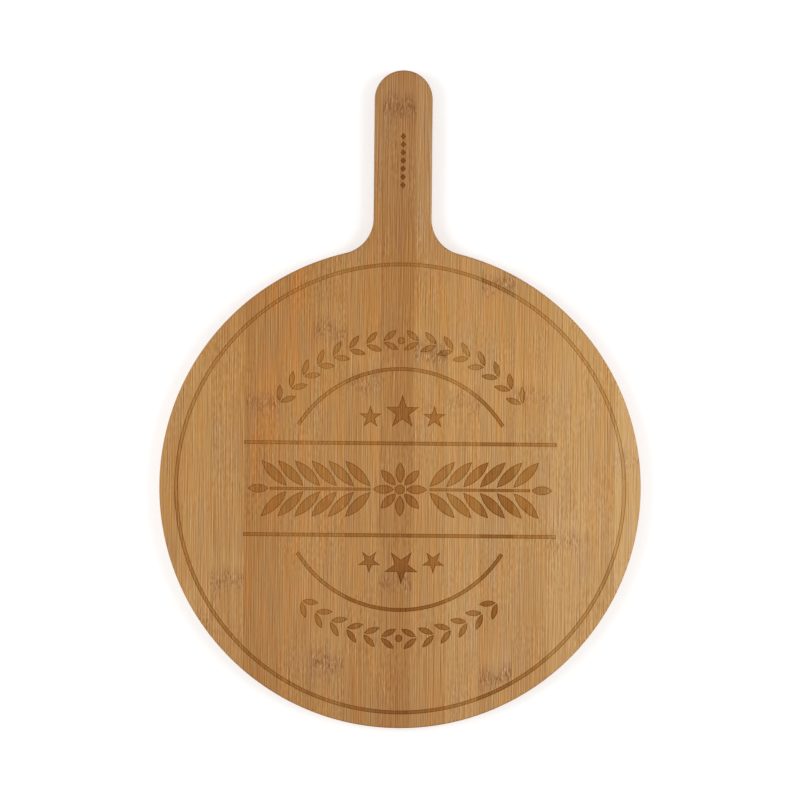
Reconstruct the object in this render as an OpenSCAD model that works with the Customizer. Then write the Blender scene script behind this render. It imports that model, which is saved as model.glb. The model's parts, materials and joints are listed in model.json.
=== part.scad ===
// Round pizza serving board with a straight handle, glued up from flat bamboo strips.
// Three layers: the strips of the face and of the back run with the handle, and the strips
// of the core run across it, so that the board stays flat.
// The origin is the middle of the disc, on the underside. +Y points to the tip of the
// handle and +Z points up, out of the engraved face.

/* [Disc and handle] */
// Diameter of the round serving area
disc_d = 356; // [320:1:410]
// Distance from the middle of the disc to the tip of the handle
handle_reach = 308.5; // [280:0.5:360]
// Width of the handle, which ends in a half circle
handle_w = 42.9; // [36:0.1:56]
// Radius of the hollow curves that lead from the handle into the disc
neck_r = 26.4; // [12:0.1:36]
// Radius that rounds the rim, on the face and on the back
rim_r = 1.8; // [0.5:0.1:3]

/* [Layers] */
// Thickness of the face layer, which carries the engraving
face_t = 5; // [4:0.5:8]
// Thickness of the core layer
core_t = 5; // [3:0.5:10]
// Thickness of the back layer
back_t = 5; // [4:0.5:8]
// Width of a strip in the face and back layers
strip_w = 24.8; // [20:0.1:32]
// Distance to the right from the middle line to the nearest glue joint of the face
face_joint_x = 9.5; // [2:0.1:18]
// Number of face strips to the left of that joint
face_left_strips = 8; // [7:1:9]
// Number of face strips to the right of it
face_right_strips = 7; // [6:1:8]
// Distance to the left from the middle line to the nearest glue joint of the back
back_joint_x = 12; // [2:0.1:18]
// Number of back strips to the left of that joint
back_left_strips = 7; // [6:1:8]
// Number of back strips to the right of it
back_right_strips = 8; // [7:1:9]
// Width of a strip in the core layer
core_strip_w = 24.8; // [20:0.1:32]
// Distance from the middle of the disc up to the nearest glue joint of the core
core_joint_y = 12; // [2:0.5:22]
// Number of core strips below that joint
core_lower_strips = 8; // [7:1:9]
// Number of core strips above it, up to the tip of the handle
core_upper_strips = 12; // [9:1:15]
// Least width left to the strips nearest the rim, which take up what the others leave
least_strip_w = 8; // [5:0.5:14]

/* [Engraved lines] */
// Width of the engraved ring, arcs and rules
line_w = 2.8; // [1.5:0.1:4]
// Distance from the rim to the middle of the engraved ring
ring_inset = 12.5; // [6:0.1:20]
// How far the ring sits to the right of the middle of the disc
ring_x = 0.2; // [-3:0.1:3]
// How far the ring sits above the middle of the disc
ring_y = -0.6; // [-3:0.1:3]
// Length of the two straight rules
rule_l = 231; // [180:1:250]
// Distance between the two rules
rule_gap = 68; // [56:0.2:74]
// Radius of the two arcs above and below the rules
arc_r = 89; // [84:0.5:94]
// Angle that each arc spans
arc_angle = 116; // [90:1:120]
// How far all that is engraved inside the ring sits to the right of the middle of the disc
engraving_x = 0; // [-3:0.1:3]
// How far it sits above the middle of the disc
engraving_y = -1.4; // [-3:0.1:3]

/* [Stars] */
// Radius of the middle star of a row, to its points
star_r = 13.1; // [8:0.1:14]
// Radius of the two outer stars of a row
small_star_r = 8.7; // [5:0.1:9]
// Distance from the middle of the engraving to the middle star
star_y = 56.9; // [54:0.1:62]
// How much nearer to the rules the outer stars sit
star_drop = 3.6; // [0:0.1:6]
// Distance between the middle star and an outer star
star_pitch = 23.6; // [20:0.1:30]
// How far both rows sit to the right of the middle of the engraving
star_x = 1.3; // [-3:0.1:3]

/* [Leaf band] */
// Pairs of leaves on each side of the rosette
band_pairs = 6; // [3:1:6]
// Distance from one pair of leaves to the next
band_pitch = 12.4; // [11:0.1:13]
// Length of a band leaf
band_leaf_l = 26.5; // [18:0.5:28]
// Width of a band leaf
band_leaf_w = 7.6; // [5:0.1:8]
// Angle between a band leaf and the stem
band_leaf_angle = 45; // [40:1:55]
// Width of the stem
stem_w = 2.2; // [1.4:0.1:3]
// Length of a petal of the rosette
petal_l = 15.5; // [10:0.5:16]
// Width of a petal
petal_w = 6.6; // [4:0.1:7]
// Radius of the round heart of the rosette
heart_r = 3.6; // [2:0.1:4]

/* [Garlands] */
// Radius of the circle that both garlands follow
garland_r = 110; // [106:0.5:116]
// Pairs of leaves on each side of the upper garland
upper_pairs = 8; // [4:1:9]
// Pairs of leaves on each side of the lower garland
lower_pairs = 6; // [4:1:9]
// Angle from one pair of leaves to the next
garland_pitch = 6.8; // [5.5:0.1:8]
// Length of a garland leaf
garland_leaf_l = 12.4; // [8:0.1:13]
// Width of a garland leaf
garland_leaf_w = 4.4; // [3:0.1:5]
// Angle between a garland leaf and the circle
garland_leaf_angle = 34; // [30:1:45]
// Radius of the berry in the middle of a garland
berry_r = 2.7; // [1.5:0.1:3.5]

/* [Mark on the handle] */
// Distance from the tip of the handle to the middle of the row of lozenges
mark_inset = 67; // [45:1:80]
// Number of lozenges in the row
mark_count = 7; // [1:1:9]
// Distance from one lozenge to the next
mark_pitch = 6; // [5.4:0.1:7]
// Length of a lozenge along the handle
lozenge_l = 5; // [2:0.1:5.2]
// Width of a lozenge
lozenge_w = 4; // [2:0.1:6]

/* [Depth of the engraving] */
// Depth of the paler floor of each figure
floor_depth = 0.3; // [0.1:0.05:0.8]
// How much deeper the burnt outline round the floor is
outline_drop = 0.2; // [0.05:0.05:0.5]
// Width of the burnt outline
outline_w = 0.55; // [0.3:0.05:0.9]
// Bare wood left between figures that meet, such as a leaf and its stem
bare_w = 0.9; // [0.5:0.1:2]

/* [Hidden] */
$fn = 128;
disc_r = disc_d / 2;
tip_r = handle_w / 2;
tip_y = handle_reach - tip_r;
board_t = back_t + core_t + face_t;
core_z = back_t;
face_z = back_t + core_t;
mark_y = handle_reach - mark_inset;
outline_depth = floor_depth + outline_drop;
// Centres of the hollow curves, which touch the disc and the sides of the handle
neck_x = tip_r + neck_r;
neck_y = sqrt(pow(disc_r + neck_r, 2) - pow(neck_x, 2));
// Overrun of the cuts and of the outermost strips past the board
over = 2;
// Span of the board across and along the handle, with that overrun
board_x = [-disc_r - over, disc_r + over];
board_y = [-disc_r - over, handle_reach + over];
// Reach of a cutter beyond the rim, past every corner of the board
far = disc_r + handle_reach;
// Waist of a five-pointed star as a share of its radius
star_waist_share = cos(360 / 5) / cos(180 / 5);
star_points = 5;
petals = 8;

// Ends and glue joints of a layer from low to high, both ends past the rim. The joints lie
// pitch apart from the one at joint, which has so many strips before and after it. Where the
// rim comes too close, they move in, so that every strip keeps its least width.
function edges(joint, pitch, before, after, low, high) =
    let (joints = [for (n = [1 : before + after - 1]) max(
        low + n * least_strip_w,
        min(high - (before + after - n) * least_strip_w, joint + (n - before) * pitch)
    )])
    concat([low - over], joints, [high + over]);
face_edges = edges(face_joint_x, strip_w, face_left_strips, face_right_strips, -disc_r, disc_r);
back_edges = edges(-back_joint_x, strip_w, back_left_strips, back_right_strips, -disc_r, disc_r);
core_edges = edges(
    core_joint_y, core_strip_w, core_lower_strips, core_upper_strips, -disc_r, handle_reach
);
face_strips = face_left_strips + face_right_strips;
core_strips = core_lower_strips + core_upper_strips;
back_strips = back_left_strips + back_right_strips;

// Names of the strips of a layer, such as face_strip_01
function strip_name(layer, i) = str(layer, "_strip_", i < 9 ? "0" : "", i + 1);
function strip_names(layer, count) = [for (i = [0 : count - 1]) strip_name(layer, i)];

// Bamboo colours, and how light each strip of the face is, from left to right. The back
// takes the same tones from right to left.
bamboo = [0.76, 0.57, 0.35];
core_bamboo = [0.72, 0.53, 0.32];
tone_shares = [0.97, 0.98, 0.95, 0.86, 0.94, 0.96, 0.92, 0.84, 1, 1.02, 0.97, 1.04, 1.03, 1, 1.02];
function tone(i) = tone_shares[i % len(tone_shares)];

// Section of the cutter that shapes a rim at reach and rounds its upper edge by r
module rim_section(reach, t, r) {
    translate([reach, -over]) square([far, over + t - r]);
    difference() {
        translate([reach - r, t - r]) square([r + far, r + over]);
        if (r > 0) translate([reach - r, t - r]) circle(r);
    }
}

// Half section of the cutter for a hollow curve, flared where the rim is rounded by r
module hollow_section(t, r) {
    translate([0, -over]) square([neck_r, over + t - r]);
    difference() {
        translate([0, t - r]) square([neck_r + r, r + over]);
        if (r > 0) translate([neck_r + r, t - r]) circle(r);
    }
}

// All that is cut away round a layer of thickness t on z = 0, its upper rim rounded by r:
// round the disc save before the neck, the two hollow curves, both sides of the handle
// from the hollow curves on, and round its tip
module surroundings(t, r) {
    difference() {
        rotate_extrude() rim_section(disc_r, t, r);
        translate([0, 0, -2 * over]) linear_extrude(t + 4 * over)
            polygon([[0, 0], far / neck_y * [neck_x, neck_y], far / neck_y * [-neck_x, neck_y]]);
    }
    for (side = [-1, 1])
        translate([side * neck_x, neck_y, 0]) rotate_extrude() hollow_section(t, r);
    for (side = [0, 1]) mirror([side, 0, 0])
        translate([0, handle_reach + 2 * over, 0]) rotate([90, 0, 0])
            linear_extrude(handle_reach + 2 * over - neck_y) rim_section(tip_r, t, r);
    translate([0, tip_y, 0]) rotate_extrude(angle = 180) rim_section(tip_r, t, r);
}

// A strip of a layer, given as its lowest and highest x and y
module strip(x, y, t, r) {
    difference() {
        translate([x[0], y[0], 0]) cube([x[1] - x[0], y[1] - y[0], t]);
        surroundings(t, r);
    }
}

// One engraved figure, cut down from z = 0: a floor inside a deeper outline.
// The first child is the figure, the second is the same figure drawn in by the outline.
module engraved() {
    difference() {
        translate([0, 0, -outline_depth]) linear_extrude(outline_depth + over) children(0);
        translate([0, 0, -outline_depth - over])
            linear_extrude(outline_depth + over - floor_depth) children(1);
    }
}

// A leaf from the origin along +X, drawn in by inset
module leaf_shape(l, w, inset) {
    r = (l * l + w * w) / (4 * w);
    intersection_for (side = [-1, 1]) translate([l / 2, side * (r - w / 2)]) circle(r - inset);
}
module leaf(l, w) {
    engraved() {
        leaf_shape(l, w, 0);
        leaf_shape(l, w, outline_w);
    }
}

// A star with a point up. All its sides lie at one distance from its middle.
module star_shape(r) {
    half = 180 / star_points;
    polygon([for (k = [0 : 2 * star_points - 1])
        r * (k % 2 == 0 ? 1 : star_waist_share) * [sin(half * k), cos(half * k)]]);
}
module star(r) {
    half = 180 / star_points;
    side_share = sqrt(1 + pow(star_waist_share, 2) - 2 * star_waist_share * cos(half));
    apothem = r * star_waist_share * sin(half) / side_share;
    engraved() {
        star_shape(r);
        star_shape(r * (apothem - outline_w) / apothem);
    }
}

module dot(r) {
    engraved() {
        circle(r);
        circle(r - outline_w);
    }
}

// A straight line from the origin along +X
module bar(l, w) {
    engraved() {
        translate([0, -w / 2]) square([l, w]);
        translate([outline_w, outline_w - w / 2]) square([l - 2 * outline_w, w - 2 * outline_w]);
    }
}

// A ring, or the part of one over an angle from start on
module ring(r, start, angle) {
    rotate([0, 0, start]) rotate_extrude(angle = angle) difference() {
        translate([r - line_w / 2, -outline_depth]) square([line_w, outline_depth + over]);
        translate([r - line_w / 2 + outline_w, -outline_depth - over])
            square([line_w - 2 * outline_w, outline_depth + over - floor_depth]);
    }
}

// Does a figure around x that reaches out to both sides meet the span of a strip?
function meets(span, x, reach) = x - reach < span[1] && x + reach > span[0];

// Three stars in a row about x = middle, the middle one larger and further out
module star_row(span, middle) {
    if (meets(span, middle, star_r)) translate([middle, star_y, 0]) star(star_r);
    for (x = [middle - star_pitch, middle + star_pitch])
        if (meets(span, x, small_star_r)) translate([x, star_y - star_drop, 0]) star(small_star_r);
}

// Leaves in pairs along part of a circle, which point to a berry in the middle at the top
module garland(span, pairs) {
    if (meets(span, 0, berry_r)) translate([0, garland_r, 0]) dot(berry_r);
    for (side = [-1, 1], n = [1 : pairs], lean = [-1, 1]) {
        angle = side * n * garland_pitch;
        if (meets(span, garland_r * sin(angle), garland_leaf_l))
            rotate([0, 0, -angle]) translate([0, garland_r + lean * bare_w / 2, 0])
                rotate([0, 0, (side > 0 ? 180 : 0) - side * lean * garland_leaf_angle])
                    leaf(garland_leaf_l, garland_leaf_w);
    }
}

// A rosette between two leafy stems
module leaf_band(span) {
    rosette_r = heart_r + bare_w + petal_l;
    stem_x = rosette_r + 2 * bare_w;
    stem_l = band_pairs * band_pitch;
    tip_x = stem_x + stem_l + bare_w;
    if (meets(span, 0, rosette_r)) {
        dot(heart_r);
        for (n = [0 : petals - 1]) rotate([0, 0, 360 / petals * n])
            translate([heart_r + bare_w, 0, 0]) leaf(petal_l, petal_w);
    }
    for (side = [0, 1]) mirror([side, 0, 0]) {
        own = side == 0 ? span : [-span[1], -span[0]];
        if (meets(own, stem_x + stem_l / 2, stem_l / 2)) translate([stem_x, 0, 0]) bar(stem_l, stem_w);
        if (meets(own, tip_x, petal_l)) translate([tip_x, 0, 0]) leaf(petal_l, petal_w);
        for (n = [0 : band_pairs - 1], lean = [-1, 1]) {
            x = stem_x + n * band_pitch;
            if (meets(own, x, band_leaf_l)) translate([x, lean * (stem_w / 2 + bare_w), 0])
                rotate([0, 0, lean * band_leaf_angle]) leaf(band_leaf_l, band_leaf_w);
        }
    }
}

// A row of small lozenges along the handle, burnt to one depth
module handle_mark() {
    for (n = [0 : mark_count - 1])
        translate([0, mark_y + (n - (mark_count - 1) / 2) * mark_pitch, -outline_depth])
            linear_extrude(outline_depth + over) polygon([
                [-lozenge_w / 2, 0],
                [0, -lozenge_l / 2],
                [lozenge_w / 2, 0],
                [0, lozenge_l / 2]
            ]);
}

// Everything that is engraved within the span of one strip
module engraving(span) {
    own = [span[0] - engraving_x, span[1] - engraving_x];
    translate([ring_x, ring_y, 0]) ring(disc_r - ring_inset, 0, 360);
    translate([engraving_x, engraving_y, 0]) {
        for (turn = [0, 180]) rotate([0, 0, turn]) {
            reach = arc_r * sin(arc_angle / 2) + line_w;
            if (meets(own, 0, reach)) ring(arc_r, 90 - arc_angle / 2, arc_angle);
            if (meets(own, 0, rule_l / 2)) translate([-rule_l / 2, rule_gap / 2, 0]) bar(rule_l, line_w);
        }
        star_row(own, star_x);
        rotate([0, 0, 180]) star_row([-own[1], -own[0]], -star_x);
        garland(own, upper_pairs);
        rotate([0, 0, 180]) garland([-own[1], -own[0]], lower_pairs);
        leaf_band(own);
    }
    if (meets(span, 0, lozenge_w)) handle_mark();
}

module face_strip(i) {
    color(bamboo * tone(i)) difference() {
        translate([0, 0, face_z]) strip([face_edges[i], face_edges[i + 1]], board_y, face_t, rim_r);
        translate([0, 0, board_t]) engraving([face_edges[i], face_edges[i + 1]]);
    }
}

module core_strip(i) {
    color(core_bamboo) translate([0, 0, core_z])
        strip(board_x, [core_edges[i], core_edges[i + 1]], core_t, 0);
}

module back_strip(i) {
    color(bamboo * tone(back_strips - 1 - i)) translate([0, 0, back_t]) mirror([0, 0, 1])
        strip([back_edges[i], back_edges[i + 1]], board_y, back_t, rim_r);
}

for (i = [0 : face_strips - 1])
    face_strip(i);
for (i = [0 : core_strips - 1])
    core_strip(i);
for (i = [0 : back_strips - 1])
    back_strip(i);
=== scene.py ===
"""Looks of a round bamboo serving board, set on the fixed model of its strips.

The board lies on z = 0 with the middle of its disc at the origin, and its handle points
along +Y. The fibres of the face and back strips run along Y, those of the core along X.
"""
import json
import math
from typing import NamedTuple

import bpy
from bpy.props import FloatProperty, FloatVectorProperty, PointerProperty
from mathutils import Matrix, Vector

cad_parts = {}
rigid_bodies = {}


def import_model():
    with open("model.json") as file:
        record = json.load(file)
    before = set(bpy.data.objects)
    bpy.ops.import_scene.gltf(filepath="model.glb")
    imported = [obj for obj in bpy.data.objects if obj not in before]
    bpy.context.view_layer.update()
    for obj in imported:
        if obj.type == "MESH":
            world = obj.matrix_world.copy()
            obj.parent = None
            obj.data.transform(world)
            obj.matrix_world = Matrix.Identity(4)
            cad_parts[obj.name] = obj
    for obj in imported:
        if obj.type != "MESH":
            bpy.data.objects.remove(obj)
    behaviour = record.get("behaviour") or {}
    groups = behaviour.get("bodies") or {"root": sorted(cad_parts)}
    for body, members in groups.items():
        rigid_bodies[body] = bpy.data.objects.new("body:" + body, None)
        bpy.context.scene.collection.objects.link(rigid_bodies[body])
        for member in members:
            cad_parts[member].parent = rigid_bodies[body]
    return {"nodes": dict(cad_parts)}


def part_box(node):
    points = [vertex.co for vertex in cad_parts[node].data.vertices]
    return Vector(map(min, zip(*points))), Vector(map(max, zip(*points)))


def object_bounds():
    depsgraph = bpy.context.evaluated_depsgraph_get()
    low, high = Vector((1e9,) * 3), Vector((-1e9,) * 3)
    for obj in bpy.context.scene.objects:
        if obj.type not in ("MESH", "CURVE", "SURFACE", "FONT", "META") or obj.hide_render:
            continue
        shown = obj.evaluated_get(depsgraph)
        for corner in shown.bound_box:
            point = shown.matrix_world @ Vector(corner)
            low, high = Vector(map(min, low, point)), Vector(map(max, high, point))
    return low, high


bl_info = {
    "name": "Bamboo serving board",
    "version": (1, 0, 0),
    "blender": (4, 5, 0),
    "location": "3D View > Sidebar > Serving Board",
    "description": "Finishes the strips of a bamboo serving board and lights it for a picture",
    "category": "Material",
}

for startup_object in list(bpy.data.objects):
    bpy.data.objects.remove(startup_object)
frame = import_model()
cad_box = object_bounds()

MM = 0.001
DISC_RADIUS = cad_box[1].x
FACE_HEIGHT = cad_box[1].z
# Farther off than any place on the board
FAR = 10.0
# Axis along which the strips of each layer lie side by side: 0 is X and 1 is Y
ACROSS = {"face": 0, "back": 0, "core": 1}
# The strips of each layer take their seeds from here on, so that no two strips look alike
FIRST_SEEDS = {"face": 0, "core": 30, "back": 60}
# How far one seed moves the noise on
SEED_STEP = (0.137, 0.713, 0.051)
# The knuckles and the dusky clouds of a strip are moved on by these parts of a step as well
KNUCKLE_SEED = 0.5
DUSK_SEED = 0.77
# Steps of this share of the whole never come to the same place twice
GOLDEN_SHARE = 0.618


class Knuckle(NamedTuple):
    """Where a knuckle of the cane lies along the fibres, and how plain it is, up to 1"""

    place: float
    plain: float


class Strip(NamedTuple):
    """Looks of one strip: how light and how reddish it is, its knuckles, and how deep the
    engraving is burnt into it"""

    node: str
    layer: str
    number: int
    tone: float
    warmth: float
    knuckles: tuple = ()
    burn: float = 0.0


class Fibres(NamedTuple):
    """A kind of fibre. Its width and length are shares of those in the settings, and its detail
    is the number of finer layers of noise that break it up."""

    width_share: float
    length_share: float
    detail: float
    strength: float = 1.0


# How light each face strip is, from left to right, as a share of the way from the dark to
# the light bamboo, and how reddish it is
FACE_TONE_SHARES = (.46, .54, .49, .35, .41, .46, .45, .35, .53, .62, .58, .60, .71, .69, .86)
FACE_WARM_SHARES = (.40, .30, .20, .70, .75, .50, .45, .15, .50, .40, .45, .30, .20, .25, .10)
# How deep the engraving is burnt into each face strip, from left to right
FACE_BURN_SHARES = (.30, .25, .15, .20, .20, .22, .51, .47, .45, .38, .74, .35, .15, .05, .05)
# The knuckles on the face strips, by the number of the strip
FACE_KNUCKLES = {
    2: (Knuckle(-98 * MM, 0.4),),
    3: (Knuckle(-70 * MM, 0.6),),
    4: (Knuckle(62 * MM, 0.5),),
    6: (Knuckle(115 * MM, 0.6), Knuckle(-129 * MM, 0.8)),
    7: (Knuckle(77 * MM, 0.4),),
    8: (Knuckle(281 * MM, 1.0), Knuckle(-71 * MM, 0.6)),
    9: (Knuckle(100 * MM, 0.9),),
    10: (Knuckle(62 * MM, 0.3),),
    11: (Knuckle(149 * MM, 0.7), Knuckle(-139.5 * MM, 0.9)),
    12: (Knuckle(66 * MM, 0.3),),
    13: (Knuckle(-40 * MM, 0.3),),
    15: (Knuckle(21 * MM, 0.2),),
}
# The tones of the core strips lie between these
CORE_TONE_SHARES = (0.36, 0.56)
CORE_WARM_SHARE = 0.3
BACK_WARM_SHARE = 0.35
# Each back strip has one knuckle: where it may lie as shares of the strip, and how plain it is
BACK_KNUCKLE_PLACE_SHARES = (0.1, 0.9)
BACK_KNUCKLE_PLAIN_SHARES = (0.3, 0.9)


def spot(across, along):
    """Size along X, Y and Z of a spot that is drawn out along the fibres"""
    return across, along, across


# Kinds of fibres, from fine to broad
FINE_FIBRES = Fibres(width_share=0.9, length_share=1, detail=1, strength=0.6)
LONG_FIBRES = Fibres(width_share=2.4, length_share=4, detail=1, strength=0.24)
BANDS = Fibres(width_share=7, length_share=8, detail=1, strength=0.12)
BROAD_BANDS = Fibres(width_share=22, length_share=10, detail=1, strength=0.2)
PORES = Fibres(width_share=0.9, length_share=0.15, detail=0)
HAIRS = Fibres(width_share=0.8, length_share=1.5, detail=0)
# How strong each finer layer of the fibres' noise is
FIBRE_ROUGHNESS = 0.6
# A fine fibre is told apart from the one that lies this far beside it, in widths of a fibre
BESIDE_SHARE = 1.1
# How strongly the pores show outside the patches where they are plain, and inside them
PORE_STRENGTHS = (0.14, 0.56)
PORE_PATCH = spot(30 * MM, 50 * MM)
# The fibres swerve a little from side to side
WAVER = 0.6 * MM
WAVER_SPOT = spot(25 * MM, 120 * MM)
# Bundles of fibres: their width in widths of a fibre, how strongly they show, how far they
# drift sideways, and the patches in which they show
BUNDLE_WIDTH_SHARE = 2.2
BUNDLE_STRENGTH = 0.19
BUNDLE_DRIFT = 1.6 * MM
BUNDLE_DRIFT_SPOT = spot(4 * MM, 90 * MM)
BUNDLE_PATCH = spot(3 * MM, 40 * MM)
# Size of the clouds of warm and of dusky wood
WARM_CLOUD = spot(7 * MM, 50 * MM)
DUSK_CLOUD = spot(10 * MM, 50 * MM)
# The level of its noise at which each of these begins to show, and at which it shows fully
HAIRS_SHOW = (0.05, 0.17)
PORE_PATCHES_SHOW = (-0.12, 0.15)
BUNDLE_PATCHES_SHOW = (-0.15, 0.12)
WARM_CLOUDS_SHOW = (-0.12, 0.2)
DUSK_CLOUDS_SHOW = (-0.05, 0.22)

# A knuckle's edge is ragged on the whole and frayed from fibre to fibre
RAGGED = 14 * MM
RAGGED_SPOT = spot(8 * MM, 50 * MM)
FRAYED = 12 * MM
FRAYED_SPOT = spot(1.2 * MM, 30 * MM)
# The fibres in it swerve, and show as short dashes and strokes
SWERVE = 1.1 * MM
SWERVE_SPOT = spot(3 * MM, 8 * MM)
DASH = spot(0.9 * MM, 3.6 * MM)
DASHES_SHOW = (0.02, 0.1)
STROKE = spot(0.8 * MM, 3.6 * MM)
# Its cloud, its ring and the lower and upper edge of the pale wood above it: where each begins
# to show and where it shows fully, in heights of a knuckle from its middle
CLOUD_SHOWS = (0.8, 0.1)
RING_SHOWS = (0.36, 0.08)
PALE_LOWER_EDGE = (0.3, 0.6)
PALE_UPPER_EDGE = (1.4, 0.7)
# How strong the strokes are in the ring round its middle, and in its cloud
RING_STROKES = 0.6
CLOUD_STROKES = 0.4

# The end of one bundle of fibres in a cut, along X, Y and Z, and how far from its middle it
# begins to show and shows fully, as shares of that
BUNDLE_END = (0.8 * MM, 80 * MM, 0.7 * MM)
BUNDLE_END_SHOWS = (0.5, 0.18)
# End grain shows the more, the more a surface faces along the fibres, between these shares
END_GRAIN_SHOWS = (0.25, 0.95)

# Along Y, the wood is warmest here, and dullest towards the far end and on the handle
WARM_PLACE = 130 * MM
FAR_ON_HANDLE = 240 * MM
HANDLE_DULLNESS = 2.0
# The wood is lightest within this distance from the middle of the disc, along the fibres
LIGHT_REACH = 60 * MM
# How far each of these takes the tone, where 1 is the way from the dark to the light bamboo.
# Streaks and hairs also follow the contrast.
STREAKS_TONE = 2.0
HAIRS_TONE = -0.25
OUTWARD_TONE = -0.06
END_TONE = -0.15
CLOUD_TONE = -0.07
PALE_TONE = 0.05
# The same for the strokes of a faint knuckle and of a plain one
STROKES_TONES = (0.9, 2.0)
# How far each of these takes the hue, where 1 is all the way to the dusky wood
DUSK_HUE = 0.4
DULL_HUE = 0.25
CLOUD_HUE = 0.5
# How much less warm the wood is where it is dull
DULL_COOLING = -0.3
# How much of the wood each of these covers with its own colour
DASHES_COVER = 0.75
BUNDLES_COVER = 0.65
GLUE_COVER = 0.3
# Oiled wood: its roughness, what the fibres and the burnt engraving add to it, and its relief
WOOD_ROUGHNESS = 0.52
STREAKS_ROUGHNESS = -0.2
BURNT_ROUGHNESS = 0.2
SPECULAR_LEVEL = 0.2
HAIR_RELIEF = -0.5
RELIEF_STRENGTH = 0.35
RELIEF_DEPTH = 0.1 * MM

# The engraving is burnt deepest round this place, fully in its core and less up to its reach
DEEP_BURN_PLACE = (0.0, -80 * MM, 0.0)
DEEP_BURN_CORE = 15 * MM
DEEP_BURN_REACH = 42 * MM
DEEP_BURN = 0.35
# It is burnt less from the bottom of the disc to the top, by this much in one radius
BURN_SLOPE = -0.33
BURN_UNEVENNESS = 0.5
BURN_PATCH = spot(30 * MM, 50 * MM)
# The outline shows this strongly where the burn is slight, and fully where it is deep
SLIGHT_OUTLINE = 0.5
# The ring near the rim is burnt this much of what the other figures are. The change lies
# between these distances from the middle, where there is nothing engraved.
RING_BURN_SHARE = 0.86
RING_BEGINS = (120 * MM, 155 * MM)
# A surface is flat where the Z of its normal is over the first, and a wall where it is under
# the second
FLAT_UPWARD = 0.97
WALL_UPWARD = 0.3
# The walls of the engraving reach down a little farther than its outline
WALL_DEPTH_SHARE = 1.1

# The floor reaches this far each way, a little below the board so that they don't meet
FLOOR_REACH = 4.0
FLOOR_DROP = 0.1 * MM
# How bright the floor looks by itself near the board and far from it, and where that changes
FLOOR_GLOWS = (0.38, 0.63)
FLOOR_GLOW_REACH = (0.5, 1.5)
# Each lamp stands this far to one side of the board and as high, and is a square of this side
LAMP_REACH = 1.3
LAMP_SIDE = 1.0


def part_way(share, ends):
    """The number that lies that share of the way from the first to the second"""
    first, second = ends
    return first + (second - first) * share


def tint(red, green, blue):
    """A colour given from 0 to 255, as a picture editor shows it, in linear light"""
    channels = (value / 255 for value in (red, green, blue))
    return tuple(c / 12.92 if c <= 0.04045 else ((c + 0.055) / 1.055) ** 2.4 for c in channels)


def colour_property(name, description, default):
    """A colour that a user can change"""
    return FloatVectorProperty(
        name=name, description=description, subtype="COLOR", size=3, min=0, max=1, default=default
    )


def length_property(name, description, default):
    """A length in metres that a user can change"""
    return FloatProperty(
        name=name, description=description, unit="LENGTH", min=0, precision=5, default=default
    )


def share_property(name, description, default):
    """A share from 0 to 1 that a user can change"""
    return FloatProperty(
        name=name, description=description, subtype="FACTOR", min=0, max=1, default=default
    )


class BambooSettings(bpy.types.PropertyGroup):
    """Colours and sizes of the bamboo"""

    dark_wood: colour_property(
        "Dark wood", "Colour of the darkest fibres", tint(153, 95, 40)
    )
    middle_wood: colour_property(
        "Middle wood", "Colour halfway between the dark and the light fibres", tint(187, 138, 78)
    )
    light_wood: colour_property(
        "Light wood", "Colour of the palest fibres", tint(217, 175, 116)
    )
    warm_wood: colour_property(
        "Warm wood", "Orange colour of middle wood in a warm cloud", tint(202, 137, 67)
    )
    dusky_wood: colour_property(
        "Dusky wood", "Dull colour of middle wood in a dusky cloud", tint(179, 136, 91)
    )
    knuckle_wood: colour_property(
        "Knuckle", "Colour of the short dark fibres in a knuckle", tint(136, 90, 46)
    )
    end_wood: colour_property(
        "End grain", "Colour of the fibre ends in a cut", tint(107, 71, 44)
    )
    glue: colour_property("Glue", "Colour of the glue joints", tint(123, 84, 51))
    fibre_width: length_property("Fibre width", "Width of a fibre", 0.8 * MM)
    fibre_length: length_property("Fibre length", "Length over which a fibre shows", 28 * MM)
    knuckle_height: length_property("Knuckle height", "Height of a knuckle", 20 * MM)
    glue_width: length_property("Glue width", "Width of the line at a glue joint", 0.3 * MM)
    contrast: share_property("Contrast", "How far the fibres differ from each other", 0.47)


class EngravingSettings(bpy.types.PropertyGroup):
    """Depths and colours of the engraving"""

    floor_depth: length_property("Floor depth", "Depth of the pale floor of a figure", 0.3 * MM)
    outline_depth: length_property("Outline depth", "Depth of the burnt outline", 0.5 * MM)
    floor_tint: colour_property(
        "Floor tint", "What is left of the wood's colour on the floor", tint(240, 227, 194)
    )
    deep_burn_tint: colour_property(
        "Deep burn tint", "What is left of that where the burn is deepest", tint(208, 185, 136)
    )
    outline_tint: colour_property(
        "Outline tint", "What is left of that in the outline", tint(243, 234, 206)
    )
    mark_tint: colour_property(
        "Handle mark tint", "What is left of that in the handle's darker marks", tint(212, 190, 134)
    )


class StageSettings(bpy.types.PropertyGroup):
    """Camera, light and floor"""

    picture_width: length_property(
        "Picture width", "Width that the picture takes in on the board's face", 590.9 * MM
    )
    disc_below: length_property(
        "Disc below middle", "How far the disc's middle is below the picture's middle", 64.7 * MM
    )
    roll: FloatProperty(
        name="Roll", description="How far the board is turned clockwise", subtype="ANGLE",
        default=math.radians(0.55),
    )
    lens: FloatProperty(
        name="Focal length", description="Focal length of the camera", unit="CAMERA",
        min=20, default=100,
    )
    lamp_power: FloatProperty(
        name="Lamp power", description="Power of each of the two soft lamps", unit="POWER",
        min=0, default=11,
    )
    daylight: FloatProperty(
        name="Daylight", description="Strength of the even light from all round", min=0, default=0.5
    )
    floor_colour: colour_property("Floor", "Colour of the floor", tint(235, 235, 235))


def connect(tree, socket, value):
    """Links a socket to another one, or sets it to a plain value"""
    if isinstance(value, bpy.types.NodeSocket):
        tree.links.new(value, socket)
    else:
        socket.default_value = value


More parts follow.
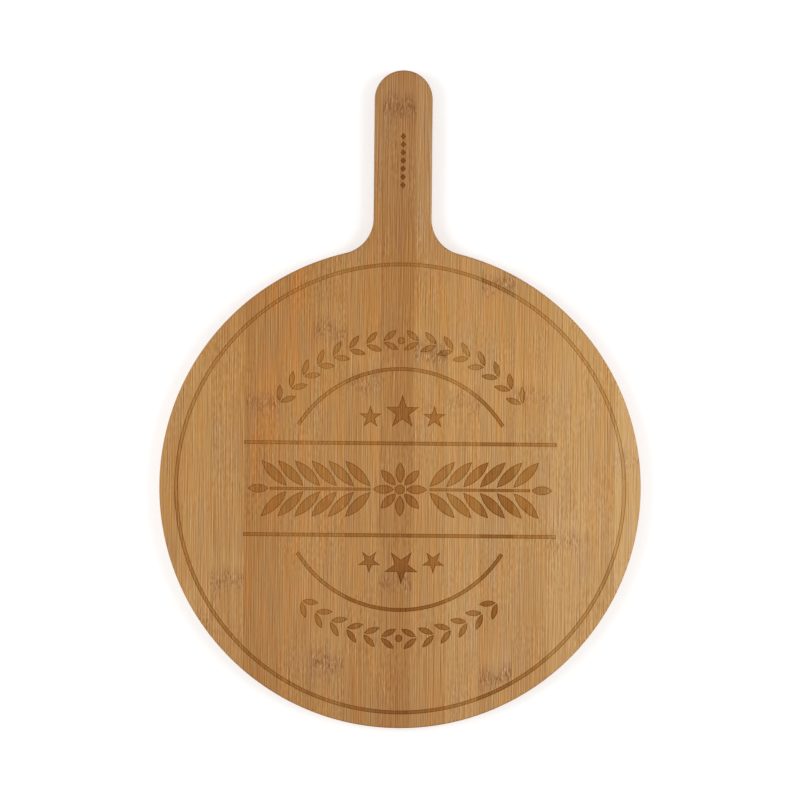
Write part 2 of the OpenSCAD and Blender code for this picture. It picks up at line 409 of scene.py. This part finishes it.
def add(tree, kind, inputs=None, **settings):
    """Adds a node, and links or sets its inputs, which are given by name or number"""
    made = tree.nodes.new(kind)
    for name, value in settings.items():
        setattr(made, name, value)
    for socket, value in (inputs or {}).items():
        connect(tree, made.inputs[socket], value)
    return made


def calc(tree, operation, *values, clamp=False):
    """Result of one sum, product or other operation on numbers"""
    inputs = dict(enumerate(values))
    return add(tree, "ShaderNodeMath", inputs, operation=operation, use_clamp=clamp).outputs[0]


def calc_vector(tree, operation, *values):
    """Result of one operation on vectors"""
    inputs = dict(enumerate(values))
    made = add(tree, "ShaderNodeVectorMath", inputs, operation=operation)
    return made.outputs["Value" if operation in ("LENGTH", "DISTANCE") else "Vector"]


def weighted(tree, base, *parts):
    """The base plus each part, which is a value and its weight"""
    for value, weight in parts:
        base = calc(tree, "MULTIPLY_ADD", value, weight, base)
    return base


def between(tree, share, ends):
    """Node that goes from the first of two numbers to the second as the share goes from 0 to 1"""
    first, second = ends
    return calc(tree, "MULTIPLY_ADD", share, second - first, first)


def fade(tree, value, start, end):
    """Rises smoothly from 0 where value is at start to 1 where it is at end"""
    inputs = {"Value": value, "From Min": start, "From Max": end}
    return add(tree, "ShaderNodeMapRange", inputs, interpolation_type="SMOOTHSTEP").outputs["Result"]


def split(tree, vector):
    """The X, Y and Z of a vector"""
    return add(tree, "ShaderNodeSeparateXYZ", {"Vector": vector}).outputs


def seeded(tree, point, seed):
    """The point moved on by its own stretch for each seed"""
    inputs = {0: SEED_STEP, "Scale": seed}
    step = add(tree, "ShaderNodeVectorMath", inputs, operation="SCALE").outputs["Vector"]
    return calc_vector(tree, "ADD", point, step)


def offset_along_x(tree, point, shift):
    """The point moved sideways, across the fibres"""
    step = add(tree, "ShaderNodeCombineXYZ", {"X": shift}).outputs["Vector"]
    return calc_vector(tree, "ADD", point, step)


def noise(tree, point, size, detail=0.0, roughness=0.5):
    """Smooth noise about zero, whose spots have that size along X, Y and Z"""
    place = calc_vector(tree, "DIVIDE", point, size)
    inputs = {"Vector": place, "Scale": 1.0, "Detail": detail, "Roughness": roughness}
    made = add(tree, "ShaderNodeTexNoise", inputs)
    return calc(tree, "SUBTRACT", made.outputs["Fac"], 0.5)


def blend_colours(tree, factor, first, second, blend_type="MIX"):
    """Blends the second colour into the first one"""
    made = add(tree, "ShaderNodeMix", data_type="RGBA", blend_type=blend_type)
    sockets = {socket.identifier: socket for socket in made.inputs}
    connect(tree, sockets["Factor_Float"], factor)
    connect(tree, sockets["A_Color"], first)
    connect(tree, sockets["B_Color"], second)
    return next(socket for socket in made.outputs if socket.identifier == "Result_Color")


def new_group(name, inputs, outputs, fill):
    """A shader node group with named sockets. The function that fills it gives its results."""
    tree = bpy.data.node_groups.new(name, "ShaderNodeTree")
    for socket, kind in inputs.items():
        tree.interface.new_socket(socket, in_out="INPUT", socket_type="NodeSocket" + kind)
    for socket in outputs:
        tree.interface.new_socket(socket, in_out="OUTPUT", socket_type="NodeSocketFloat")
    given = tree.nodes.new("NodeGroupInput").outputs
    results = fill(tree, given)
    end = tree.nodes.new("NodeGroupOutput").inputs
    for socket in outputs:
        tree.links.new(results[socket], end[socket])
    return tree


def place_group(tree, name, **inputs):
    """Puts one of the groups into a tree. In the names of its inputs, _ stands for a space."""
    group = bpy.data.node_groups.get(name) or new_group(name, *GROUPS[name])
    named = {socket.replace("_", " "): value for socket, value in inputs.items()}
    return add(tree, "ShaderNodeGroup", named, node_tree=group).outputs


def bundle_waves(tree, point, width):
    """Bundles of fibres side by side at nearly even steps, which come and go along Y"""
    parts = split(tree, point)
    across = calc(tree, "ADD", parts["X"], parts["Z"])
    across = weighted(tree, across, (noise(tree, point, BUNDLE_DRIFT_SPOT), BUNDLE_DRIFT))
    turns = calc(tree, "DIVIDE", across, calc(tree, "MULTIPLY", width, BUNDLE_WIDTH_SHARE))
    wave = calc(tree, "SINE", calc(tree, "MULTIPLY", turns, math.tau))
    strength = fade(tree, noise(tree, point, BUNDLE_PATCH), *BUNDLE_PATCHES_SHOW)
    return calc(tree, "MULTIPLY", wave, strength)


def fill_fibres(tree, given):
    """Long fibres along Y: how light each is, the thin dark ones, and clouds of two colours"""
    point = seeded(tree, given["Point"], given["Seed"])
    shift = weighted(tree, given["Shift"], (noise(tree, point, WAVER_SPOT), WAVER))
    point = offset_along_x(tree, point, shift)
    beside = offset_along_x(tree, point, calc(tree, "MULTIPLY", given["Width"], BESIDE_SHARE))

    def fibres(kind, at=point):
        """Noise about zero that is drawn out into fibres of that kind"""
        width = calc(tree, "MULTIPLY", given["Width"], kind.width_share)
        length = calc(tree, "MULTIPLY", given["Length"], kind.length_share)
        size = add(tree, "ShaderNodeCombineXYZ", {"X": width, "Y": length, "Z": width})
        return noise(tree, at, size.outputs["Vector"], kind.detail, FIBRE_ROUGHNESS)

    fine = calc(tree, "SUBTRACT", fibres(FINE_FIBRES), fibres(FINE_FIBRES, beside))
    patches = fade(tree, noise(tree, point, PORE_PATCH), *PORE_PATCHES_SHOW)
    pores = calc(tree, "MULTIPLY", fibres(PORES), between(tree, patches, PORE_STRENGTHS))
    coarse = [(fibres(kind), kind.strength) for kind in (LONG_FIBRES, BANDS, BROAD_BANDS)]
    bundles = bundle_waves(tree, point, given["Width"])
    warm = noise(tree, point, WARM_CLOUD, detail=1)
    dusk = noise(tree, seeded(tree, point, DUSK_SEED), DUSK_CLOUD, detail=1)
    return {
        "Streaks": weighted(
            tree, pores, (fine, FINE_FIBRES.strength), *coarse, (bundles, BUNDLE_STRENGTH)
        ),
        "Hairs": fade(tree, fibres(HAIRS), *HAIRS_SHOW),
        "Warm": fade(tree, warm, *WARM_CLOUDS_SHOW),
        "Dusk": fade(tree, dusk, *DUSK_CLOUDS_SHOW),
    }


def fill_knuckle(tree, given):
    """A knuckle of the cane across Y: its dusky cloud, dark dashes and upright strokes, a pale
    place above it, and how far its fibres swerve"""
    point = seeded(tree, given["Point"], given["Seed"])
    along = split(tree, given["Point"])["Y"]
    away = weighted(
        tree, calc(tree, "SUBTRACT", along, given["Place"]),
        (noise(tree, point, RAGGED_SPOT), RAGGED), (noise(tree, point, FRAYED_SPOT), FRAYED),
    )
    share = calc(tree, "DIVIDE", away, given["Height"])
    distance = calc(tree, "ABSOLUTE", share)
    cloud, ring = fade(tree, distance, *CLOUD_SHOWS), fade(tree, distance, *RING_SHOWS)
    above, below = fade(tree, share, *PALE_LOWER_EDGE), fade(tree, share, *PALE_UPPER_EDGE)
    swerve = calc(tree, "MULTIPLY", noise(tree, point, SWERVE_SPOT), SWERVE)
    swerve = calc(tree, "MULTIPLY", swerve, cloud)
    bent = offset_along_x(tree, point, swerve)
    dashes = fade(tree, noise(tree, bent, DASH), *DASHES_SHOW)
    plainly = weighted(tree, 0.0, (ring, RING_STROKES), (cloud, CLOUD_STROKES))
    return {
        "Cloud": cloud,
        "Dashes": calc(tree, "MULTIPLY", dashes, ring),
        "Strokes": calc(tree, "MULTIPLY", noise(tree, bent, STROKE, detail=1), plainly),
        "Pale": calc(tree, "MULTIPLY", above, below),
        "Swerve": swerve,
    }


def fill_end_grain(tree, given):
    """Ends of the fibre bundles, seen where a cut runs across the fibres along Y"""
    facing = calc(tree, "ABSOLUTE", split(tree, given["Normal"])["Y"])
    facing = fade(tree, facing, *END_GRAIN_SHOWS)
    point = seeded(tree, given["Point"], given["Seed"])
    cells = calc_vector(tree, "DIVIDE", point, BUNDLE_END)
    away = add(tree, "ShaderNodeTexVoronoi", {"Vector": cells, "Scale": 1.0}).outputs["Distance"]
    bundles = fade(tree, away, *BUNDLE_END_SHOWS)
    return {"Facing": facing, "Bundles": calc(tree, "MULTIPLY", bundles, facing)}


def fill_glue(tree, given):
    """Thin lines along the faces of a strip that are glued to its neighbours"""
    below = calc_vector(tree, "SUBTRACT", given["Point"], given["Low"])
    above = calc_vector(tree, "SUBTRACT", given["High"], given["Point"])
    below, above = calc_vector(tree, "ABSOLUTE", below), calc_vector(tree, "ABSOLUTE", above)
    near = split(tree, calc_vector(tree, "MINIMUM", below, above))
    distance = calc(tree, "MINIMUM", calc(tree, "MINIMUM", near["X"], near["Y"]), near["Z"])
    return {"Line": fade(tree, distance, start=given["Width"], end=0.0)}


def fill_engraving(tree, given):
    """What is cut below the face: the paler floor, the burnt outline, the marks on the handle,
    and how much of the full burn the place gets"""
    place = split(tree, given["Point"])
    upward = split(tree, given["Normal"])["Z"]
    depth = calc(tree, "SUBTRACT", given["Face"], place["Z"])
    flat = calc(tree, "GREATER_THAN", upward, FLAT_UPWARD)
    steep = calc(tree, "LESS_THAN", upward, WALL_UPWARD)
    half_floor = calc(tree, "MULTIPLY", given["Floor Depth"], 0.5)
    halfway = weighted(tree, half_floor, (given["Outline Depth"], 0.5))
    wall_depth = calc(tree, "MULTIPLY", given["Outline Depth"], WALL_DEPTH_SHARE)
    deep = calc(tree, "MULTIPLY", flat, calc(tree, "GREATER_THAN", depth, halfway))
    wall = calc(tree, "MULTIPLY", steep, calc(tree, "LESS_THAN", depth, wall_depth))
    outline = calc(tree, "MAXIMUM", deep, wall)
    shallow = calc(tree, "MULTIPLY", flat, calc(tree, "GREATER_THAN", depth, half_floor))
    on_handle = calc(tree, "GREATER_THAN", place["Y"], given["Neck"])
    level_point = calc_vector(tree, "MULTIPLY", given["Point"], (1, 1, 0))
    outside = fade(tree, calc_vector(tree, "LENGTH", level_point), *RING_BEGINS)
    on_ring = calc(tree, "SUBTRACT", outside, on_handle, clamp=True)
    return {
        "Floor": calc(tree, "MAXIMUM", shallow, outline),
        "Outline": outline,
        "Mark": calc(tree, "MULTIPLY", outline, on_handle),
        "Force": between(tree, on_ring, (1.0, RING_BURN_SHARE)),
    }


# The node groups that several materials share, by name: their inputs, their outputs, which
# are all masks and values, and the function that fills them
GROUPS = {
    "Bamboo fibres": (
        {"Point": "Vector", "Seed": "Float", "Shift": "Float", "Width": "Float", "Length": "Float"},
        ("Streaks", "Hairs", "Warm", "Dusk"),
        fill_fibres,
    ),
    "Bamboo knuckle": (
        {"Point": "Vector", "Seed": "Float", "Place": "Float", "Height": "Float"},
        ("Cloud", "Dashes", "Strokes", "Pale", "Swerve"),
        fill_knuckle,
    ),
    "Bamboo end grain": (
        {"Point": "Vector", "Normal": "Vector", "Seed": "Float"},
        ("Facing", "Bundles"),
        fill_end_grain,
    ),
    "Glue joints": (
        {"Point": "Vector", "Low": "Vector", "High": "Vector", "Width": "Float"},
        ("Line",),
        fill_glue,
    ),
    "Scorched engraving": (
        {
            "Point": "Vector", "Normal": "Vector", "Face": "Float",
            "Floor Depth": "Float", "Outline Depth": "Float", "Neck": "Float",
        },
        ("Floor", "Outline", "Mark", "Force"),
        fill_engraving,
    ),
}


class Grain(NamedTuple):
    """What the tone and the hue of one strip's wood are worked out from"""

    along: bpy.types.NodeSocket
    dulling: bpy.types.NodeSocket
    fibres: bpy.types.NodeOutputs
    ends: bpy.types.NodeOutputs
    knuckles: list


def along_fibres(tree, layer, vector):
    """The vector turned so that the layer's fibres run along Y"""
    if layer != "core":
        return vector
    inputs = {"Vector": vector, "Angle": math.pi / 2, "Axis": (0, 0, 1)}
    return add(tree, "ShaderNodeVectorRotate", inputs).outputs["Vector"]


def grow_grain(tree, strip, place, normal, settings):
    """Places a strip's fibres, knuckles and end grain"""
    seed = FIRST_SEEDS[strip.layer] + strip.number
    point = along_fibres(tree, strip.layer, place)
    knuckles = [
        (knuckle.plain, place_group(
            tree, "Bamboo knuckle", Point=point, Seed=seed + KNUCKLE_SEED,
            Place=knuckle.place, Height=settings.knuckle_height,
        ))
        for knuckle in strip.knuckles
    ]
    shift = weighted(tree, 0.0, *((knuckle["Swerve"], 1.0) for _, knuckle in knuckles))
    fibres = place_group(
        tree, "Bamboo fibres", Point=point, Seed=seed, Shift=shift,
        Width=settings.fibre_width, Length=settings.fibre_length,
    )
    turned = along_fibres(tree, strip.layer, normal)
    ends = place_group(tree, "Bamboo end grain", Point=point, Normal=turned, Seed=seed)
    along = split(tree, point)["Y"]
    toward_end = fade(tree, along, WARM_PLACE, -DISC_RADIUS)
    toward_tip = fade(tree, along, WARM_PLACE, FAR_ON_HANDLE)
    dulling = weighted(tree, toward_end, (toward_tip, HANDLE_DULLNESS))
    return Grain(along, dulling, fibres, ends, knuckles)


def wood_tone(tree, strip, grain, contrast):
    """How light the wood is, from 0, dark, to 1, light"""
    outward = fade(tree, calc(tree, "ABSOLUTE", grain.along), LIGHT_REACH, DISC_RADIUS)
    tone = weighted(
        tree, strip.tone,
        (grain.fibres["Streaks"], STREAKS_TONE * contrast),
        (grain.fibres["Hairs"], HAIRS_TONE * contrast),
        (outward, OUTWARD_TONE),
        (grain.ends["Facing"], END_TONE),
    )
    for plain, knuckle in grain.knuckles:
        tone = weighted(
            tree, tone,
            (knuckle["Cloud"], CLOUD_TONE * plain),
            (knuckle["Strokes"], part_way(plain, STROKES_TONES)),
            (knuckle["Pale"], PALE_TONE),
        )
    return tone


def wood_ramp(tree, tone, settings):
    """Colour of the wood for its tone"""
    ramp = add(tree, "ShaderNodeValToRGB", {"Fac": tone})
    middle = ramp.color_ramp.elements.new(0.5)
    dark, light = ramp.color_ramp.elements[0], ramp.color_ramp.elements[-1]
    for stop, colour in (
        (dark, settings.dark_wood), (middle, settings.middle_wood), (light, settings.light_wood)
    ):
        stop.color = (*colour, 1)
    return ramp.outputs["Color"]


def hue_shift(tree, factor, colour, wanted, plain):
    """Shifts a colour as far as plain wood is from the wanted one, and keeps its streaks"""
    ratio = (*(w / p for w, p in zip(wanted, plain)), 1)
    return blend_colours(tree, factor, colour, ratio, "MULTIPLY")


def wood_colour(tree, strip, grain, settings):
    """Colour of the wood with its clouds, knuckles and end grain"""
    colour = wood_ramp(tree, wood_tone(tree, strip, grain, settings.contrast), settings)
    warm = weighted(tree, grain.fibres["Warm"], (grain.dulling, DULL_COOLING))
    warm = calc(tree, "MULTIPLY", warm, strip.warmth, clamp=True)
    dusk = weighted(
        tree, 0.0, (grain.fibres["Dusk"], DUSK_HUE), (grain.dulling, DULL_HUE),
        *((knuckle["Cloud"], CLOUD_HUE * plain) for plain, knuckle in grain.knuckles),
    )
    colour = hue_shift(tree, warm, colour, settings.warm_wood, settings.middle_wood)
    colour = hue_shift(tree, dusk, colour, settings.dusky_wood, settings.middle_wood)
    for plain, knuckle in grain.knuckles:
        dashes = calc(tree, "MULTIPLY", knuckle["Dashes"], DASHES_COVER * plain)
        colour = blend_colours(tree, dashes, colour, (*settings.knuckle_wood, 1))
    bundles = calc(tree, "MULTIPLY", grain.ends["Bundles"], BUNDLES_COVER)
    return blend_colours(tree, bundles, colour, (*settings.end_wood, 1))


def burn_level(tree, place, burn):
    """How deep the engraving is burnt, from 0 to 1"""
    away = calc_vector(tree, "DISTANCE", place, DEEP_BURN_PLACE)
    level = weighted(
        tree, burn,
        (fade(tree, away, start=DEEP_BURN_REACH, end=DEEP_BURN_CORE), DEEP_BURN),
        (noise(tree, place, BURN_PATCH), BURN_UNEVENNESS),
        (split(tree, place)["Y"], BURN_SLOPE / DISC_RADIUS),
    )
    return calc(tree, "ADD", level, 0.0, clamp=True)


def scorch(tree, colour, place, normal, burn, settings):
    """The wood's colour with the engraving burnt into it, and where that is"""
    burnt = place_group(
        tree, "Scorched engraving", Point=place, Normal=normal, Face=FACE_HEIGHT,
        Floor_Depth=settings.floor_depth, Outline_Depth=settings.outline_depth, Neck=DISC_RADIUS,
    )
    level = burn_level(tree, place, burn)
    floor = calc(tree, "MULTIPLY", burnt["Floor"], burnt["Force"])
    outline = calc(tree, "MULTIPLY", burnt["Outline"], burnt["Force"])
    deep = calc(tree, "MULTIPLY", floor, level)
    outline = calc(tree, "MULTIPLY", outline, between(tree, level, (SLIGHT_OUTLINE, 1.0)))
    for strength, left in (
        (floor, settings.floor_tint),
        (deep, settings.deep_burn_tint),
        (outline, settings.outline_tint),
        (burnt["Mark"], settings.mark_tint),
    ):
        colour = blend_colours(tree, strength, colour, (*left, 1), "MULTIPLY")
    return colour, burnt["Floor"]


def numbered_nodes(layer):
    """Numbers and names of the strips of a layer"""
    names = sorted(node for node in frame["nodes"] if node.startswith(layer))
    return list(enumerate(names, start=1))


def glued_sides(strip):
    """Corners of a strip where it is glued, and far away where it is free"""
    names = [node for _, node in numbered_nodes(strip.layer)]
    low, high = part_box(strip.node)
    first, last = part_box(names[0])[0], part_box(names[-1])[1]
    axis = ACROSS[strip.layer]
    glued_low, glued_high = Vector((-FAR,) * 3), Vector((FAR,) * 3)
    if low[axis] > first[axis]:
        glued_low[axis] = low[axis]
    if high[axis] < last[axis]:
        glued_high[axis] = high[axis]
    if strip.layer != "back":
        glued_low.z = low.z
    if strip.layer != "face":
        glued_high.z = high.z
    return glued_low, glued_high


def strip_material(strip, scene):
    """Bamboo for one strip, with the burnt engraving where it is a face strip"""
    settings = scene.bamboo
    material = bpy.data.materials.new("%s_bamboo_%02d" % (strip.layer, strip.number))
    material.use_nodes = True
    tree = material.node_tree
    tree.nodes.clear()
    place = add(tree, "ShaderNodeTexCoord").outputs["Object"]
    normal = add(tree, "ShaderNodeNewGeometry").outputs["True Normal"]
    grain = grow_grain(tree, strip, place, normal, settings)
    colour = wood_colour(tree, strip, grain, settings)
    low, high = glued_sides(strip)
    glue = place_group(
        tree, "Glue joints", Point=place, Low=low, High=high, Width=settings.glue_width
    )
    line = calc(tree, "MULTIPLY", glue["Line"], GLUE_COVER)
    colour = blend_colours(tree, line, colour, (*settings.glue, 1))
    roughness = weighted(tree, WOOD_ROUGHNESS, (grain.fibres["Streaks"], STREAKS_ROUGHNESS))
    if strip.layer == "face":
        colour, burnt = scorch(tree, colour, place, normal, strip.burn, scene.engraving)
        roughness = weighted(tree, roughness, (burnt, BURNT_ROUGHNESS))
    height = weighted(tree, grain.fibres["Streaks"], (grain.fibres["Hairs"], HAIR_RELIEF))
    bump = add(
        tree, "ShaderNodeBump",
        {"Strength": RELIEF_STRENGTH, "Distance": RELIEF_DEPTH, "Height": height},
    )
    shader = add(
        tree, "ShaderNodeBsdfPrincipled",
        {"Base Color": colour, "Roughness": roughness, "Normal": bump.outputs["Normal"]},
    )
    shader.inputs["Specular IOR Level"].default_value = SPECULAR_LEVEL
    add(tree, "ShaderNodeOutputMaterial", {"Surface": shader.outputs["BSDF"]})
    return material


def dress(strip, scene):
    """Gives a strip its own bamboo in place of the plain material"""
    material = strip_material(strip, scene)
    for material_slot in frame["nodes"][strip.node].material_slots:
        material_slot.material = material


class BOARD_OT_face_strips(bpy.types.Operator):
    """Finish the strips of the engraved face, each with its own tone and knuckles"""

    bl_idname = "board.face_strips"
    bl_label = "Face strips"
    bl_options = {"REGISTER", "UNDO"}

    def execute(self, context):
        for number, node in numbered_nodes("face"):
            strip = Strip(
                node, "face", number,
                tone=FACE_TONE_SHARES[number - 1],
                warmth=FACE_WARM_SHARES[number - 1],
                knuckles=FACE_KNUCKLES.get(number, ()),
                burn=FACE_BURN_SHARES[number - 1],
            )
            dress(strip, context.scene)
        return {"FINISHED"}


class BOARD_OT_core_strips(bpy.types.Operator):
    """Finish the strips of the core, which show at the rim"""

    bl_idname = "board.core_strips"
    bl_label = "Core strips"
    bl_options = {"REGISTER", "UNDO"}

    def execute(self, context):
        for number, node in numbered_nodes("core"):
            tone = part_way(number * GOLDEN_SHARE % 1, CORE_TONE_SHARES)
            dress(Strip(node, "core", number, tone, CORE_WARM_SHARE), context.scene)
        return {"FINISHED"}


class BOARD_OT_back_strips(bpy.types.Operator):
    """Finish the strips of the plain back, whose tones are those of the face from the right"""

    bl_idname = "board.back_strips"
    bl_label = "Back strips"
    bl_options = {"REGISTER", "UNDO"}

    def execute(self, context):
        for number, node in numbered_nodes("back"):
            share = number * GOLDEN_SHARE % 1
            low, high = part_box(node)
            knuckle = Knuckle(
                place=part_way(part_way(share, BACK_KNUCKLE_PLACE_SHARES), (low.y, high.y)),
                plain=part_way(share, BACK_KNUCKLE_PLAIN_SHARES),
            )
            tone = FACE_TONE_SHARES[-number]
            dress(Strip(node, "back", number, tone, BACK_WARM_SHARE, (knuckle,)), context.scene)
        return {"FINISHED"}


def seen_directly(tree):
    """1 for what the camera sees, also in a mirror or through glass"""
    path = add(tree, "ShaderNodeLightPath").outputs
    shine = calc(tree, "MAXIMUM", path["Is Glossy Ray"], path["Is Transmission Ray"])
    return calc(tree, "MAXIMUM", path["Is Camera Ray"], shine)


def pale_floor(settings):
    """A plain floor that looks white to the camera and still keeps the board's shadow"""
    material = bpy.data.materials.new("pale_floor")
    material.use_nodes = True
    tree = material.node_tree
    tree.nodes.clear()
    colour = (*settings.floor_colour, 1)
    matt = add(tree, "ShaderNodeBsdfDiffuse", {"Color": colour}).outputs["BSDF"]
    place = add(tree, "ShaderNodeTexCoord").outputs["Object"]
    far = fade(tree, calc_vector(tree, "LENGTH", place), *FLOOR_GLOW_REACH)
    strength = calc(tree, "MULTIPLY", between(tree, far, FLOOR_GLOWS), seen_directly(tree))
    glow = add(tree, "ShaderNodeEmission", {"Strength": strength})
    both = add(tree, "ShaderNodeAddShader", {0: matt, 1: glow.outputs["Emission"]})
    add(tree, "ShaderNodeOutputMaterial", {"Surface": both.outputs["Shader"]})
    return material


def make_floor(settings):
    """A wide level floor just below the board"""
    corners = [(-1, -1), (1, -1), (1, 1), (-1, 1)]
    mesh = bpy.data.meshes.new("floor")
    mesh.from_pydata([(x * FLOOR_REACH, y * FLOOR_REACH, 0) for x, y in corners], [], [(0, 1, 2, 3)])
    mesh.materials.append(pale_floor(settings))
    floor = bpy.data.objects.new("floor", mesh)
    floor.location.z = -FLOOR_DROP
    bpy.context.scene.collection.objects.link(floor)


def make_daylight(settings):
    """Even light from all round, which looks white to the camera"""
    world = bpy.data.worlds.new("daylight")
    world.use_nodes = True
    tree = world.node_tree
    tree.nodes.clear()
    white = (1, 1, 1, 1)
    even = add(tree, "ShaderNodeBackground", {"Color": white, "Strength": settings.daylight})
    seen = add(tree, "ShaderNodeBackground", {"Color": white, "Strength": 1.0})
    either = add(tree, "ShaderNodeMixShader", {
        "Fac": seen_directly(tree),
        1: even.outputs["Background"],
        2: seen.outputs["Background"],
    })
    add(tree, "ShaderNodeOutputWorld", {"Surface": either.outputs["Shader"]})
    bpy.context.scene.world = world


def make_lamp(name, place, target, settings):
    """A soft square lamp that shines on the target and doesn't show itself"""
    lamp = bpy.data.lights.new(name, "AREA")
    lamp.shape = "SQUARE"
    lamp.size = LAMP_SIDE
    lamp.energy = settings.lamp_power
    holder = bpy.data.objects.new(name, lamp)
    holder.location = place
    holder.rotation_euler = (target - Vector(place)).to_track_quat("-Z", "Y").to_euler()
    holder.visible_camera = False
    bpy.context.scene.collection.objects.link(holder)


def make_camera(settings):
    """A camera straight above the board, rolled so that the board lies as in the picture.
    Gives the place on the ground below the picture's middle."""
    camera = bpy.data.cameras.new("camera")
    camera.lens = settings.lens
    camera.dof.use_dof = False
    holder = bpy.data.objects.new("camera", camera)
    distance = settings.picture_width * camera.lens / camera.sensor_width
    up = Vector((-math.sin(settings.roll), math.cos(settings.roll), 0))
    middle = up * settings.disc_below
    holder.location = (middle.x, middle.y, FACE_HEIGHT + distance)
    holder.rotation_euler = (0, 0, settings.roll)
    bpy.context.scene.collection.objects.link(holder)
    bpy.context.scene.camera = holder
    return middle


class BOARD_OT_stage(bpy.types.Operator):
    """Set up the pale floor, the soft light and the camera"""

    bl_idname = "board.stage"
    bl_label = "Stage"
    bl_options = {"REGISTER", "UNDO"}

    def execute(self, context):
        settings = context.scene.stage
        middle = make_camera(settings)
        make_floor(settings)
        make_daylight(settings)
        for name, side in (("lamp_left", -LAMP_REACH), ("lamp_right", LAMP_REACH)):
            make_lamp(name, (side, middle.y, LAMP_REACH), middle, settings)
        context.scene.view_settings.view_transform = "Standard"
        return {"FINISHED"}


class BOARD_PT_sidebar(bpy.types.Panel):
    """Lists the pieces of the board and their settings"""

    bl_idname = "BOARD_PT_sidebar"
    bl_label = "Serving Board"
    bl_space_type = "VIEW_3D"
    bl_region_type = "UI"
    bl_category = "Serving Board"

    def draw(self, context):
        for operator in OPERATORS:
            self.layout.operator(operator.bl_idname)
        for group_name, group in SETTINGS.items():
            box = self.layout.box()
            box.label(text=group_name.capitalize())
            for name in group.__annotations__:
                box.prop(getattr(context.scene, group_name), name)


SETTINGS = {"bamboo": BambooSettings, "engraving": EngravingSettings, "stage": StageSettings}
OPERATORS = (BOARD_OT_face_strips, BOARD_OT_core_strips, BOARD_OT_back_strips, BOARD_OT_stage)


def register():
    for cls in (*SETTINGS.values(), *OPERATORS, BOARD_PT_sidebar):
        bpy.utils.register_class(cls)
    for name, group in SETTINGS.items():
        setattr(bpy.types.Scene, name, PointerProperty(type=group))


def unregister():
    for name in SETTINGS:
        delattr(bpy.types.Scene, name)
    for cls in (BOARD_PT_sidebar, *reversed(OPERATORS), *reversed(SETTINGS.values())):
        bpy.utils.unregister_class(cls)


def main():
    """Makes the scene"""
    register()
    bpy.ops.board.face_strips()
    bpy.ops.board.core_strips()
    bpy.ops.board.back_strips()
    bpy.ops.board.stage()


if __name__ == "__main__":
    main()
